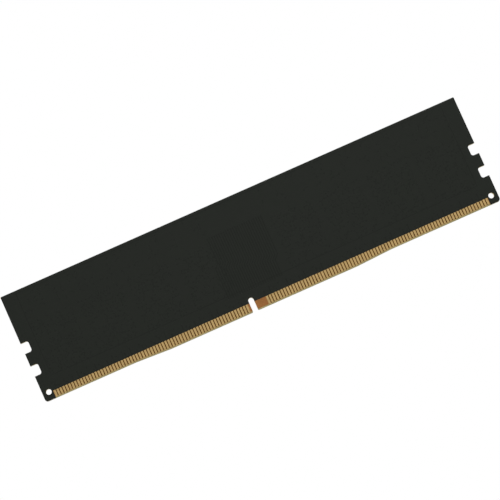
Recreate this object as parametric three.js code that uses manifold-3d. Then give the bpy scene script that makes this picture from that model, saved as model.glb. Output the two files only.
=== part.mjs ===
// A 288-contact unbuffered memory module (DIMM) with its parts on one face of the board.
//
// Frame, in millimetres: the module stands in its slot. +X runs along the board, +Z from the contact
// edge up to the top edge, and Y through the thickness. The parts are on the front, which faces -Y, and
// the bare back faces +Y. The origin is at the middle of the contact edge's lowest face.
import * as THREE from "three";
import { mergeVertices } from "three/addons/utils/BufferGeometryUtils.js";
import Module from "manifold-3d";

const wasm = await Module();
wasm.setup();

// Board outline
const BOARD_LENGTH = 133.35;
const BOARD_HEIGHT = 31.25;
const TOP_CORNER_RADIUS = 0.25;
const BOTTOM_CORNER_RADIUS = 0.75;
const END_RISE = 0.5; // the contact edge is this much higher at both ends than in the middle
const RISE_LENGTH = 10.2;
const LEFT_LOW_END = -24.225; // where the low middle stretch of the contact edge ends
const RIGHT_LOW_END = 30.175;
const SIDE_NOTCH = { centres: [9.5, 16.1], height: 3.0, depth: 2.1, radius: 0.65 };
const KEY_NOTCH = { centre: 5.575, width: 1.5, top: 3.93, footRadius: 0.3 };
const ALIGNMENT_HOLE = { fromEnd: 1.78, height: 2.73, radius: 0.775 };
const ARC_STEPS = 8;
const HOLE_STEPS = 32;

// Board layers, from the middle out
const BOARD_THICKNESS = 1.4;
const MASK_THICKNESS = 0.07;
const PREPREG_THICKNESS = 0.1;
const CORE_THICKNESS = BOARD_THICKNESS - 2 * (MASK_THICKNESS + PREPREG_THICKNESS);
const PLANE_THICKNESS = 0.035;
const PLANE_INSET = 0.5;
const LAMINATE_FACE = CORE_THICKNESS / 2 + PREPREG_THICKNESS; // the y of the bare laminate's back face
const MASK_FACE = BOARD_THICKNESS / 2;
const EDGE_BEVEL = { height: 0.3, depth: 0.2 };

// Edge contacts
const CONTACT_PITCH = 0.85;
const CONTACT_WIDTH = 0.6;
const CONTACT_THICKNESS = 0.05;
const CONTACT_TOP = 2.6;
const CONTACT_EDGE_GAP = 0.35; // bare laminate between a contact's foot and the board's edge
const FIRST_CONTACT = -(BOARD_LENGTH / 2 - 3.35);
const LONG_BANK_COUNT = 77;
const SHORT_BANK_COUNT = 67;
const TIE_STRIP_HEIGHT = 0.4; // plating strip that joins a bank's contacts under the solder mask
const WINDOW_MARGIN = 0.1; // the mask opening reaches this far past the outer contacts

// Memory packages
const CHIP = { width: 7.5, height: 11.0, centreZ: 16.8, pitch: 14.1, innermost: 14.0 };
const CHIPS_PER_SIDE = 4;
const BALL_STANDOFF = 0.3;
const CARRIER_THICKNESS = 0.22;
const MOULD_THICKNESS = 0.58;
const DIE = { width: 5.2, height: 9.2, thickness: 0.2 };
const BALL_PITCH = 0.8;
const BALL_DIAMETER = 0.45;
const BALL_ROWS = 13;
const BALL_BANK_COLUMNS = 3;
const BALL_BANK_CENTRE = 3 * BALL_PITCH;
const BOND_RIDGE = { width: 1.2, height: 8.8, thickness: 0.16 };

// Small parts
const ARRAY = { width: 2.0, height: 1.0, thickness: 0.45, terminals: 4, terminalWidth: 0.3, bump: 0.1 };
const ARRAY_HEIGHT_ON_BOARD = 6.2;
const ARRAY_SPACING = 2.9;
const TERMINATION = { x: 62.2, firstZ: 20.6, spacing: 2.6, count: 4 };
const BULK_CAPACITOR = { width: 2.0, height: 1.25, thickness: 0.85, endBand: 0.45, endSwell: 0.03 };
const BULK_CAPACITOR_PLACES = [[-4.6, 24.6], [4.6, 24.6], [-4.6, 9.6], [4.6, 9.6]];
const SPD_CHIP = { width: 2.0, height: 3.0, thickness: 0.75, x: 0, z: 17.2, edgeStep: 0.06 };

const materials = {
  laminate: new THREE.MeshStandardMaterial({ color: 0xa8834e, roughness: 0.6 }),
  copper: new THREE.MeshStandardMaterial({ color: 0xb87346, roughness: 0.4, metalness: 1 }),
  mask: new THREE.MeshStandardMaterial({ color: 0x262825, roughness: 0.5 }),
  gold: new THREE.MeshStandardMaterial({ color: 0xcdb078, roughness: 0.35, metalness: 1 }),
  mould: new THREE.MeshStandardMaterial({ color: 0x1d1d1f, roughness: 0.65 }),
  carrier: new THREE.MeshStandardMaterial({ color: 0x2f3a2c, roughness: 0.5 }),
  silicon: new THREE.MeshStandardMaterial({ color: 0x6d6f75, roughness: 0.2, metalness: 0.4 }),
  resistor: new THREE.MeshStandardMaterial({ color: 0x18181a, roughness: 0.45 }),
  ceramic: new THREE.MeshStandardMaterial({ color: 0xa07a55, roughness: 0.5 }),
};

// The height of the contact edge at x.
function edgeHeight(x) {
  const outwards = x < 0 ? LEFT_LOW_END - x : x - RIGHT_LOW_END;
  return END_RISE * THREE.MathUtils.clamp(outwards / RISE_LENGTH, 0, 1);
}

// Adds a rounded corner to an outline: a curve from its last point, bent towards corner, to the point to.
function roundCorner(outline, corner, to) {
  outline.quadraticCurveTo(corner[0], corner[1], to[0], to[1]);
}

// One end of the board from the bottom to the top, or mirrored and walked the other way: the points of
// its two side notches, with rounded inner corners. side is 1 at the right end and -1 at the left.
function addEnd(outline, side, inset) {
  const edge = side * (BOARD_LENGTH / 2 - inset);
  const floor = side * (BOARD_LENGTH / 2 - SIDE_NOTCH.depth - inset);
  const half = SIDE_NOTCH.height / 2 + inset;
  const r = SIDE_NOTCH.radius;
  const up = side;
  const centres = side > 0 ? SIDE_NOTCH.centres : [...SIDE_NOTCH.centres].reverse();
  for (const z of centres) {
    outline.lineTo(edge, z - up * half);
    outline.lineTo(floor + side * r, z - up * half);
    roundCorner(outline, [floor, z - up * half], [floor, z - up * (half - r)]);
    outline.lineTo(floor, z + up * (half - r));
    roundCorner(outline, [floor, z + up * half], [floor + side * r, z + up * half]);
    outline.lineTo(edge, z + up * half);
  }
}

// The key notch, walked from its left foot, over its round top, to its right foot. Both feet are
// rounded by footRadius.
function addKeyNotch(outline, footZ, inset, footRadius) {
  const half = KEY_NOTCH.width / 2 + inset;
  const left = KEY_NOTCH.centre - half;
  const right = KEY_NOTCH.centre + half;
  outline.lineTo(left - footRadius, footZ);
  if (footRadius) roundCorner(outline, [left, footZ], [left, footZ + footRadius]);
  outline.lineTo(left, KEY_NOTCH.top + inset - half);
  outline.absarc(KEY_NOTCH.centre, KEY_NOTCH.top + inset - half, half, Math.PI, 0, true);
  outline.lineTo(right, footZ + footRadius);
  if (footRadius) roundCorner(outline, [right, footZ], [right + footRadius, footZ]);
}

// The board's outline in x and z, shrunk by inset, with its key notch, side notches and alignment holes.
// With contactWindow, the outline stays above the contacts, as the solder mask does.
function boardOutline(inset = 0, contactWindow = false) {
  const right = BOARD_LENGTH / 2 - inset;
  const top = BOARD_HEIGHT - inset;
  const foot = END_RISE + inset;
  const low = inset;
  const windowEnd = -FIRST_CONTACT + CONTACT_WIDTH / 2 + WINDOW_MARGIN;
  const outline = new THREE.Shape();
  outline.moveTo(-right + BOTTOM_CORNER_RADIUS, foot);
  if (contactWindow) {
    outline.lineTo(-windowEnd, foot);
    outline.lineTo(-windowEnd, CONTACT_TOP);
    addKeyNotch(outline, CONTACT_TOP, inset, 0);
    outline.lineTo(windowEnd, CONTACT_TOP);
    outline.lineTo(windowEnd, foot);
  } else {
    outline.lineTo(LEFT_LOW_END - RISE_LENGTH, foot);
    outline.lineTo(LEFT_LOW_END, low);
    addKeyNotch(outline, low, inset, KEY_NOTCH.footRadius);
    outline.lineTo(RIGHT_LOW_END, low);
    outline.lineTo(RIGHT_LOW_END + RISE_LENGTH, foot);
  }
  outline.lineTo(right - BOTTOM_CORNER_RADIUS, foot);
  roundCorner(outline, [right, foot], [right, foot + BOTTOM_CORNER_RADIUS]);
  addEnd(outline, 1, inset);
  outline.lineTo(right, top - TOP_CORNER_RADIUS);
  roundCorner(outline, [right, top], [right - TOP_CORNER_RADIUS, top]);
  outline.lineTo(-right + TOP_CORNER_RADIUS, top);
  roundCorner(outline, [-right, top], [-right, top - TOP_CORNER_RADIUS]);
  addEnd(outline, -1, inset);
  outline.lineTo(-right, foot + BOTTOM_CORNER_RADIUS);
  roundCorner(outline, [-right, foot], [-right + BOTTOM_CORNER_RADIUS, foot]);
  for (const side of [-1, 1]) outline.holes.push(alignmentHole(side, inset));
  return outline;
}

function alignmentHole(side, inset) {
  const x = side * (BOARD_LENGTH / 2 - ALIGNMENT_HOLE.fromEnd);
  const radius = ALIGNMENT_HOLE.radius + inset;
  const hole = new THREE.Path();
  for (let i = 0; i < HOLE_STEPS; i++) {
    const angle = (-2 * Math.PI * i) / HOLE_STEPS;
    const point = [x + radius * Math.cos(angle), ALIGNMENT_HOLE.height + radius * Math.sin(angle)];
    if (i) hole.lineTo(...point);
    else hole.moveTo(...point);
  }
  hole.closePath();
  return hole;
}

// A sheet of an outline drawn in x and z, from y = yLow to yHigh.
function sheet(outline, yLow, yHigh) {
  const geometry = new THREE.ExtrudeGeometry(outline, {
    depth: yHigh - yLow,
    bevelEnabled: false,
    curveSegments: ARC_STEPS,
  });
  return geometry.rotateX(Math.PI / 2).translate(0, yHigh, 0);
}

// A box given by its middle in x and z, its size there, and its two faces in y.
function block(x, z, width, height, yLow, yHigh) {
  const geometry = new THREE.BoxGeometry(width, yHigh - yLow, height);
  return geometry.translate(x, (yLow + yHigh) / 2, z);
}

function toSolid(geometry) {
  const bare = new THREE.BufferGeometry();
  bare.setAttribute("position", geometry.getAttribute("position"));
  if (geometry.index) bare.setIndex(geometry.index);
  const merged = mergeVertices(bare, 1e-4);
  return new wasm.Manifold(
    new wasm.Mesh({
      numProp: 3,
      vertProperties: new Float32Array(merged.attributes.position.array),
      triVerts: new Uint32Array(merged.index.array),
    }),
  );
}

function toGeometry(solid) {
  const mesh = solid.getMesh();
  const geometry = new THREE.BufferGeometry();
  geometry.setAttribute("position", new THREE.BufferAttribute(new Float32Array(mesh.vertProperties), 3));
  geometry.setIndex(new THREE.BufferAttribute(new Uint32Array(mesh.triVerts), 1));
  return geometry;
}

function cut(geometry, ...tools) {
  return toGeometry(tools.reduce((solid, tool) => solid.subtract(toSolid(tool)), toSolid(geometry)));
}

function join(first, ...others) {
  return toGeometry(others.reduce((solid, other) => solid.add(toSolid(other)), toSolid(first)));
}

// The wedge that bevels one face of the contact edge. It is a triangle carried along the edge, and face
// is -1 for the front and 1 for the back.
function edgeBevelTool(face) {
  const reach = 0.4; // how far the wedge stands out of the board
  const { height, depth } = EDGE_BEVEL;
  const slope = depth / height;
  const xs = [
    FIRST_CONTACT - CONTACT_WIDTH / 2 - WINDOW_MARGIN,
    LEFT_LOW_END - RISE_LENGTH,
    LEFT_LOW_END,
    RIGHT_LOW_END,
    RIGHT_LOW_END + RISE_LENGTH,
    -FIRST_CONTACT + CONTACT_WIDTH / 2 + WINDOW_MARGIN,
  ];
  const triangle = [
    [LAMINATE_FACE - depth - slope * reach, -reach],
    [LAMINATE_FACE + reach * slope, -reach],
    [LAMINATE_FACE + reach * slope, height + reach],
  ];
  const positions = xs.flatMap((x) =>
    triangle.flatMap(([y, up]) => [x, face * y, edgeHeight(x) + up]),
  );
  const index = [];
  for (let i = 0; i + 1 < xs.length; i++) {
    for (let k = 0; k < 3; k++) {
      const a = 3 * i + k;
      const b = 3 * i + ((k + 1) % 3);
      index.push(a, a + 3, b, b, a + 3, b + 3);
    }
  }
  const last = 3 * (xs.length - 1);
  index.push(0, 1, 2, last, last + 2, last + 1);
  if (face > 0) index.reverse();
  const geometry = new THREE.BufferGeometry();
  geometry.setAttribute("position", new THREE.Float32BufferAttribute(positions, 3));
  return geometry.setIndex(index);
}

const module = new THREE.Group();

function add(name, geometry, material) {
  const mesh = new THREE.Mesh(geometry, material);
  mesh.name = name;
  module.add(mesh);
}

// The glass-fibre core has a shallow pocket on each face for an inner copper plane.
function addLaminate() {
  const half = CORE_THICKNESS / 2;
  const clear = 0.1; // how far a cutting tool stands out of the face that it cuts
  const pocket = boardOutline(PLANE_INSET);
  const bevels = [edgeBevelTool(-1), edgeBevelTool(1)];
  const core = cut(
    sheet(boardOutline(), -half, half),
    sheet(pocket, -half - clear, -half + PLANE_THICKNESS),
    sheet(pocket, half - PLANE_THICKNESS, half + clear),
    ...bevels,
  );
  add("laminate_core", core, materials.laminate);
  add("ground_plane", sheet(pocket, -half, -half + PLANE_THICKNESS), materials.copper);
  add("power_plane", sheet(pocket, half - PLANE_THICKNESS, half), materials.copper);
  const front = cut(sheet(boardOutline(), -LAMINATE_FACE, -half), bevels[0]);
  const back = cut(sheet(boardOutline(), half, LAMINATE_FACE), bevels[1]);
  add("prepreg_front", front, materials.laminate);
  add("prepreg_back", back, materials.laminate);
}

// The two banks of contacts on each face, as [first contact's x, count] pairs.
const BANKS = {
  long: [FIRST_CONTACT, LONG_BANK_COUNT],
  short: [-FIRST_CONTACT - (SHORT_BANK_COUNT - 1) * CONTACT_PITCH, SHORT_BANK_COUNT],
};

function bankSpan([first, count]) {
  return [first - CONTACT_WIDTH / 2, first + (count - 1) * CONTACT_PITCH + CONTACT_WIDTH / 2];
}

// The mask is one sheet, recessed over the strips.
function addSolderMask(name, face) {
  const faces = [LAMINATE_FACE, MASK_FACE].map((y) => face * y).sort((a, b) => a - b);
  const strips = Object.values(BANKS).map((bank) => {
    const [left, right] = bankSpan(bank);
    const clear = 0.1;
    const y = [LAMINATE_FACE - clear, LAMINATE_FACE + CONTACT_THICKNESS].map((v) => face * v);
    const height = TIE_STRIP_HEIGHT + clear;
    const middle = CONTACT_TOP - clear + height / 2;
    return block((left + right) / 2, middle, right - left, height, Math.min(...y), Math.max(...y));
  });
  add(name, cut(sheet(boardOutline(0, true), ...faces), ...strips), materials.mask);
}

// One bank of contacts on one face. Each finger's foot follows the contact edge.
function addContacts(name, bank, face) {
  const [first, count] = bank;
  const [left, right] = bankSpan(bank);
  const stripTop = CONTACT_TOP + TIE_STRIP_HEIGHT;
  const comb = new THREE.Shape();
  comb.moveTo(left, stripTop);
  for (let i = 0; i < count; i++) {
    const x = first + i * CONTACT_PITCH;
    const foot = edgeHeight(x) + CONTACT_EDGE_GAP;
    const sides = [x - CONTACT_WIDTH / 2, x + CONTACT_WIDTH / 2];
    if (i) comb.lineTo(sides[0], CONTACT_TOP);
    comb.lineTo(sides[0], foot);
    comb.lineTo(sides[1], foot);
    if (i < count - 1) comb.lineTo(sides[1], CONTACT_TOP);
  }
  comb.lineTo(right, stripTop);
  comb.closePath();
  const y = [LAMINATE_FACE, LAMINATE_FACE + CONTACT_THICKNESS].map((v) => face * v).sort((a, b) => a - b);
  add(name, sheet(comb, ...y), materials.gold);
}

// The x of each memory package, from the left end of the front face to the right.
function chipCentres() {
  const right = Array.from({ length: CHIPS_PER_SIDE }, (_, i) => CHIP.innermost + i * CHIP.pitch);
  return [...right.map((x) => -x).reverse(), ...right];
}

// A memory package: the carrier with its two banks of solder balls and the ridge over its bond wires,
// the silicon die, and the moulded body over the die.
function addMemoryChip(number, x) {
  const name = `memory_chip_${number}`;
  const carrierBack = -MASK_FACE - BALL_STANDOFF;
  const carrierFront = carrierBack - CARRIER_THICKNESS;
  const mouldFront = carrierFront - MOULD_THICKNESS;
  const dieFront = carrierFront - DIE.thickness;
  const bankWidth = (BALL_BANK_COLUMNS - 1) * BALL_PITCH + BALL_DIAMETER;
  const bankHeight = (BALL_ROWS - 1) * BALL_PITCH + BALL_DIAMETER;
  const sunk = 0.1; // the banks and the ridge are joined into the carrier by this much
  const plate = block(x, CHIP.centreZ, CHIP.width, CHIP.height, carrierFront, carrierBack);
  const banks = [-1, 1].map((side) => {
    const bankX = x + side * BALL_BANK_CENTRE;
    return block(bankX, CHIP.centreZ, bankWidth, bankHeight, carrierBack - sunk, -MASK_FACE);
  });
  const ridgeBack = carrierBack + BOND_RIDGE.thickness;
  const ridge = block(x, CHIP.centreZ, BOND_RIDGE.width, BOND_RIDGE.height, carrierBack - sunk, ridgeBack);
  add(`${name}_carrier`, join(plate, ...banks, ridge), materials.carrier);
  const die = block(x, CHIP.centreZ, DIE.width, DIE.height, dieFront, carrierFront);
  add(`${name}_die`, die, materials.silicon);
  const body = block(x, CHIP.centreZ, CHIP.width, CHIP.height, mouldFront, carrierFront);
  const hollow = block(x, CHIP.centreZ, DIE.width, DIE.height, dieFront, carrierFront + sunk);
  add(`${name}_body`, cut(body, hollow), materials.mould);
}

// A chip resistor array: a ceramic slab with a row of terminal bumps on each long side.
function arrayOutline(x, z) {
  const { width, height, terminals, terminalWidth, bump } = ARRAY;
  const pitch = width / terminals;
  const outline = new THREE.Shape();
  for (const side of [-1, 1]) {
    const edge = z + side * (height / 2 - bump);
    const start = [x + side * (width / 2), edge];
    if (side < 0) outline.moveTo(...start);
    else outline.lineTo(...start);
    for (let i = 0; i < terminals; i++) {
      const middle = x + side * (width / 2 - pitch * (i + 0.5));
      const near = middle + (side * terminalWidth) / 2;
      const far = middle - (side * terminalWidth) / 2;
      outline.lineTo(near, edge);
      outline.lineTo(near, edge + side * bump);
      outline.lineTo(far, edge + side * bump);
      outline.lineTo(far, edge);
    }
    outline.lineTo(x - side * (width / 2), edge);
  }
  return outline;
}

function addResistorArray(name, x, z, standing) {
  const geometry = sheet(arrayOutline(0, 0), -MASK_FACE - ARRAY.thickness, -MASK_FACE);
  if (standing) geometry.rotateY(Math.PI / 2);
  add(name, geometry.translate(x, 0, z), materials.resistor);
}

function addBulkCapacitor(name, x, z) {
  const { width, height, thickness, endBand, endSwell } = BULK_CAPACITOR;
  const front = -MASK_FACE - thickness;
  const slab = block(x, z, width - endBand, height - 2 * endSwell, front + endSwell, -MASK_FACE - endSwell);
  const ends = [-1, 1].map((side) =>
    block(x + (side * (width - endBand)) / 2, z, endBand, height, front, -MASK_FACE),
  );
  add(name, join(slab, ...ends), materials.ceramic);
}

// The small memory that tells the computer what the module is: a leadless package, slightly stepped.
function addSpdChip() {
  const { width, height, thickness, x, z, edgeStep } = SPD_CHIP;
  const front = -MASK_FACE - thickness;
  const middle = -MASK_FACE - thickness / 4;
  const base = block(x, z, width, height, middle, -MASK_FACE);
  const top = block(x, z, width - 2 * edgeStep, height - 2 * edgeStep, front, middle + edgeStep);
  add("spd_eeprom", join(base, top), materials.mould);
}

addLaminate();
addSolderMask("solder_mask_front", -1);
addSolderMask("solder_mask_back", 1);
for (const [face, side] of [["front", -1], ["back", 1]]) {
  for (const [bank, place] of Object.entries(BANKS)) {
    addContacts(`contacts_${face}_${bank}_bank`, place, side);
  }
}
chipCentres().forEach((x, i) => {
  addMemoryChip(i + 1, x);
  addResistorArray(`data_resistors_${i + 1}a`, x - ARRAY_SPACING / 2, ARRAY_HEIGHT_ON_BOARD);
  addResistorArray(`data_resistors_${i + 1}b`, x + ARRAY_SPACING / 2, ARRAY_HEIGHT_ON_BOARD);
});
for (let i = 0; i < TERMINATION.count; i++) {
  const z = TERMINATION.firstZ + i * TERMINATION.spacing;
  addResistorArray(`termination_resistors_${i + 1}`, TERMINATION.x, z, true);
}
BULK_CAPACITOR_PLACES.forEach(([x, z], i) => addBulkCapacitor(`bulk_capacitor_${i + 1}`, x, z));
addSpdChip();

export default module;
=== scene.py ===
import math

import bpy
import numpy as np
from bpy.props import FloatProperty, FloatVectorProperty, IntProperty, PointerProperty
from bpy.types import Operator, Panel, PropertyGroup
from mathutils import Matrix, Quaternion, Vector
from mathutils.geometry import tessellate_polygon


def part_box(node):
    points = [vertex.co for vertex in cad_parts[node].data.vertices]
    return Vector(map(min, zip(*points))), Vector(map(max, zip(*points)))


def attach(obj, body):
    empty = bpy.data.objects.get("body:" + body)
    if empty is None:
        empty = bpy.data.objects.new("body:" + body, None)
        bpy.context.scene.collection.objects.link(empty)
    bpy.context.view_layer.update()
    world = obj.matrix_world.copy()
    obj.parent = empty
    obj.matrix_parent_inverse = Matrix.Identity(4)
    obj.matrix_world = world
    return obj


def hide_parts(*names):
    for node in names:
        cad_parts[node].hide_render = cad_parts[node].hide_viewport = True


bl_info = {
    "name": "Memory module",
    "version": (1, 0, 0),
    "blender": (4, 5, 0),
    "location": "View3D > Sidebar > Memory module",
    "description": "Builds a 288-contact memory module and its studio, piece by piece",
    "category": "Add Mesh",
}

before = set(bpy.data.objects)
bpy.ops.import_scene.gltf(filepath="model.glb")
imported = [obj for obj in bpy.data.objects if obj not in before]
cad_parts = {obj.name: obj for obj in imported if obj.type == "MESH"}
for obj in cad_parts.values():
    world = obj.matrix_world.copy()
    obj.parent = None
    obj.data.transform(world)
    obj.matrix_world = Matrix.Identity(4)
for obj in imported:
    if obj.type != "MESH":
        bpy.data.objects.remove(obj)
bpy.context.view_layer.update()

MM = 0.001
FRONT, BACK = -1, 1
SIDES = {"front": FRONT, "back": BACK}
BOARD_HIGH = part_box("laminate_core")[1]
MASK_FACE_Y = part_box("solder_mask_back")[1].y
LAMINATE_FACE_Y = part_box("prepreg_back")[1].y
ARC_STEPS = 8
SUNK = 0.01 * MM  # how far a raised piece reaches into the face below it
SOLDER_SUNK = 0.015 * MM  # how far solder does
LAYER = 0.0015 * MM  # the step between crossing bundles of tracks, so that no two tops coincide
GOLDEN_RATIO = 0.618  # its fractional part, whose multiples spread evenly over a range
SHARP_ANGLE = math.radians(50)
CHIP_NUMBERS = range(1, 9)
ARRAY_NAMES = [f"data_resistors_{n}{half}" for n in CHIP_NUMBERS for half in "ab"]
TERMINATION_NAMES = [f"termination_resistors_{n}" for n in range(1, 5)]
BULK_NAMES = [f"bulk_capacitor_{n}" for n in range(1, 5)]


# ---------------------------------------------------------------- sizes and colours


def distance(size, name, description):
    """A length or a place whose default is given in millimetres."""
    return FloatProperty(
        name=name, description=description, default=size * MM, precision=5, subtype="DISTANCE", unit="LENGTH"
    )


def colour(red, green, blue, name, description):
    """A linear colour property."""
    return FloatVectorProperty(
        name=name, description=description, default=(red, green, blue), min=0, max=1, subtype="COLOR"
    )


def angle(degrees, name, description):
    """An angle property whose default is given in degrees."""
    return FloatProperty(name=name, description=description, default=math.radians(degrees), subtype="ANGLE")


def number_of(number, name, description, least=2):
    """A number of like things, and the least that can be built."""
    return IntProperty(name=name, description=description, default=number, min=least)


class BoardSettings(PropertyGroup):
    """The board's outline, notches, holes and contact edge"""

    corner_radius: distance(0.75, "Bottom corner radius", "Radius of the two lower outer corners")
    top_radius: distance(0.25, "Top corner radius", "Radius of the two upper corners")
    end_rise: distance(0.5, "End rise", "How much higher the contact edge is at both ends")
    rise_length: distance(10.2, "Rise length", "Length of each slope of the contact edge")
    left_low_end: distance(-24.225, "Left low end", "Where the low middle stretch ends on the left")
    right_low_end: distance(30.175, "Right low end", "Where the low middle stretch ends on the right")
    notch_height: distance(3.0, "Side notch height", "Height of each latch notch")
    notch_depth: distance(2.1, "Side notch depth", "Depth of each latch notch")
    notch_radius: distance(0.65, "Side notch radius", "Radius of a latch notch's inner corners")
    lower_notch: distance(9.5, "Lower notch", "Height of the lower latch notch's middle")
    upper_notch: distance(16.1, "Upper notch", "Height of the upper latch notch's middle")
    key_centre: distance(5.575, "Key notch centre", "Place of the key notch along the board")
    key_width: distance(1.5, "Key notch width", "Width of the key notch")
    key_top: distance(3.93, "Key notch top", "Height of the key notch's round top")
    key_foot_radius: distance(0.3, "Key notch foot radius", "Rounding of the key notch's lower corners")
    hole_inset: distance(1.78, "Hole inset", "Distance of a hole's centre from the board's end")
    hole_height: distance(2.73, "Hole height", "Height of a hole's centre")
    hole_radius: distance(0.775, "Hole radius", "Radius of the two alignment holes")
    bevel_height: distance(0.3, "Edge bevel height", "Height of the contact edge's bevel")
    bevel_depth: distance(0.2, "Edge bevel depth", "Depth of the contact edge's bevel")
    relief: distance(0.02, "Track relief", "How far tracks lift the mask that covers them")


class ContactSettings(PropertyGroup):
    """The two banks of edge contacts"""

    pitch: distance(0.85, "Pitch", "Distance between neighbouring contacts")
    width: distance(0.6, "Width", "Width of one contact")
    thickness: distance(0.05, "Thickness", "How far a contact stands out of the laminate")
    first: distance(-63.325, "First contact", "Place of the outermost left contact's middle")
    top: distance(2.6, "Top", "Height of a contact's top end")
    foot_gap: distance(0.35, "Foot gap", "Bare laminate between a contact's foot and the edge")
    window_margin: distance(0.1, "Window margin", "How far the mask opening passes the outer contacts")
    long_bank: number_of(77, "Long bank", "Contacts left of the key notch")
    short_bank: number_of(67, "Short bank", "Contacts right of the key notch")


class TrackSettings(PropertyGroup):
    """The tracks and vias under the solder mask"""

    width: distance(0.16, "Track width", "Width of a signal track")
    lead_width: distance(0.26, "Lead width", "Width of the track out of a contact")
    riser_width: distance(0.32, "Riser width", "Width of a track that climbs the middle")
    via_radius: distance(0.24, "Via radius", "Radius of a tented via's low dome")
    bus_count: number_of(13, "Bus tracks", "Tracks that run along the board")
    bus_bottom: distance(23.6, "Bus bottom", "Height of the lowest bus track")
    bus_pitch: distance(0.42, "Bus pitch", "Distance between bus tracks")
    riser_count: number_of(24, "Riser tracks", "Tracks that climb the middle")
    lane_count: number_of(11, "Lane tracks", "Data tracks of one package")


class PackageSettings(PropertyGroup):
    """The memory packages and their solder balls"""

    ball_pitch: distance(0.8, "Ball pitch", "Distance between solder balls")
    ball_radius: distance(0.225, "Ball radius", "Radius of a solder ball at its waist")
    ball_rows: number_of(13, "Ball rows", "Rows of solder balls")
    bank_columns: number_of(3, "Bank columns", "Columns in each bank of balls", least=1)
    bank_centre: distance(2.4, "Bank centre", "Distance of a bank's middle from the package's middle")
    edge_radius: distance(0.05, "Edge rounding", "Rounding of the moulded body's top edge")
    mark_radius: distance(0.32, "Mark radius", "Radius of the pin-one mark")


class SmallPartSettings(PropertyGroup):
    """The small capacitors and the resistor arrays"""

    capacitor_length: distance(1.0, "Capacitor length", "Length of a small capacitor")
    capacitor_width: distance(0.5, "Capacitor width", "Width of a small capacitor")
    capacitor_height: distance(0.5, "Capacitor height", "Height of a small capacitor")
    end_length: distance(0.25, "End length", "Length of a small part's metal end")
    array_terminal: distance(0.3, "Array terminal", "Width of one terminal of a resistor array")
    fillet: distance(0.1, "Fillet", "How far a solder fillet spreads past its terminal")


class FinishSettings(PropertyGroup):
    """The colour of every finish"""

    mask: colour(0.0091, 0.0125, 0.0079, "Solder mask", "Black solder mask over the copper pour")
    mask_over_tracks: colour(0.0046, 0.0074, 0.0038, "Mask over tracks", "Black mask over tracks and vias")
    laminate: colour(0.48, 0.20, 0.056, "Laminate face", "Resin-rich face of the bare laminate")
    laminate_cut: colour(0.76, 0.64, 0.29, "Cut laminate", "Routed and bevelled edges of the laminate")
    gold: colour(0.605, 0.42, 0.18, "Gold", "Plating of the contacts")
    copper: colour(0.72, 0.35, 0.16, "Copper", "Copper foil")
    mould: colour(0.023, 0.023, 0.024, "Mould compound", "Moulded body of a package")
    carrier: colour(0.02, 0.05, 0.018, "Package carrier", "Small circuit board under a package")
    silicon: colour(0.16, 0.17, 0.19, "Silicon", "Die inside a package")
    solder: colour(0.62, 0.62, 0.60, "Solder", "Solder, tinned ends and balls")
    alumina: colour(0.62, 0.61, 0.57, "Alumina", "Ceramic of the resistors")
    glaze: colour(0.014, 0.014, 0.016, "Overglaze", "Black glaze on the resistors")
    ceramic: colour(0.36, 0.20, 0.10, "Capacitor ceramic", "Fired ceramic of the capacitors")
    # Painted shade: the dark colour of the strips between the contacts stands for the shade in those narrow
    # gaps.
    gap: colour(0.12, 0.042, 0.002, "Laminate in the gaps", "Etched laminate between the contacts")
    ink: colour(0.72, 0.72, 0.68, "Legend ink", "Printed white legend")
    laser_mark: colour(0.075, 0.075, 0.073, "Laser mark", "Pin-one mark burnt into a moulded body")
    floor: colour(0.64, 0.64, 0.63, "Floor", "Studio floor")


class StageSettings(PropertyGroup):
    """The camera, the lights and the floor"""

    lens: FloatProperty(name="Lens", description="Focal length in millimetres", default=202.02)
    camera_distance: distance(753.0, "Camera distance", "Distance from the camera to the aim point")
    azimuth: angle(177.828, "Azimuth", "Direction of the camera round the module")
    elevation: angle(-5.724, "Elevation", "Height of the camera above the horizon")
    roll: angle(-24.119, "Roll", "Turn of the camera about its own axis")
    aim_x: distance(0.324, "Aim along", "Place of the aim point along the board")
    aim_z: distance(15.670, "Aim height", "Height of the aim point")
    surround: FloatProperty(name="Surround", description="Brightness of the studio walls", default=0.14)
    softbox_power: FloatProperty(name="Softbox power", description="Watts for a strength of 1", default=2.5)
    softbox_distance: distance(1000, "Softbox distance", "Distance of every softbox from the module")
    floor_size: distance(2400, "Floor size", "Width of the studio floor")


class ModuleSettings(PropertyGroup):
    """All settings of the module"""

    board: PointerProperty(type=BoardSettings)
    contacts: PointerProperty(type=ContactSettings)
    tracks: PointerProperty(type=TrackSettings)
    packages: PointerProperty(type=PackageSettings)
    small_parts: PointerProperty(type=SmallPartSettings)
    finish: PointerProperty(type=FinishSettings)
    stage: PointerProperty(type=StageSettings)


# ---------------------------------------------------------------- surfaces


def on_face(points, face):
    """Places (across, up, out) points on a face of the board.

    Across runs to the right for someone who looks at that face, and out is measured from the board's
    middle plane, so x = -face * across, y = face * out and z = up.
    """
    across, up, out = np.moveaxis(points, -1, 0)
    return np.stack([-face * across, face * out, up], -1)


def shells(rings):
    """Closes stacks of rings, given as an array of (items, rings, points, 3).

    Neighbouring rings are joined by quads, and the first and last ring of each item by one flat face.
    The points run anticlockwise for someone who looks back along the stack, so all faces point out.
    """
    items, count, points, _ = rings.shape
    index = np.arange(items * count * points).reshape(items, count, points)
    after = np.roll(index, -1, axis=2)
    walls = np.stack([index[:, :-1], after[:, :-1], after[:, 1:], index[:, 1:]], -1).reshape(-1, 4)
    caps = np.concatenate([index[:, 0, ::-1], index[:, -1]])
    return rings.reshape(-1, 3), [(walls, True), (caps, False)]


def merge(*surfaces):
    """Puts several (vertices, [(faces, smooth), ...]) surfaces into one."""
    vertices, groups, count = [], [], 0
    for points, faces in surfaces:
        vertices.append(points)
        groups += [(indices + count, smooth) for indices, smooth in faces]
        count += len(points)
    return np.concatenate(vertices), groups


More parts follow.
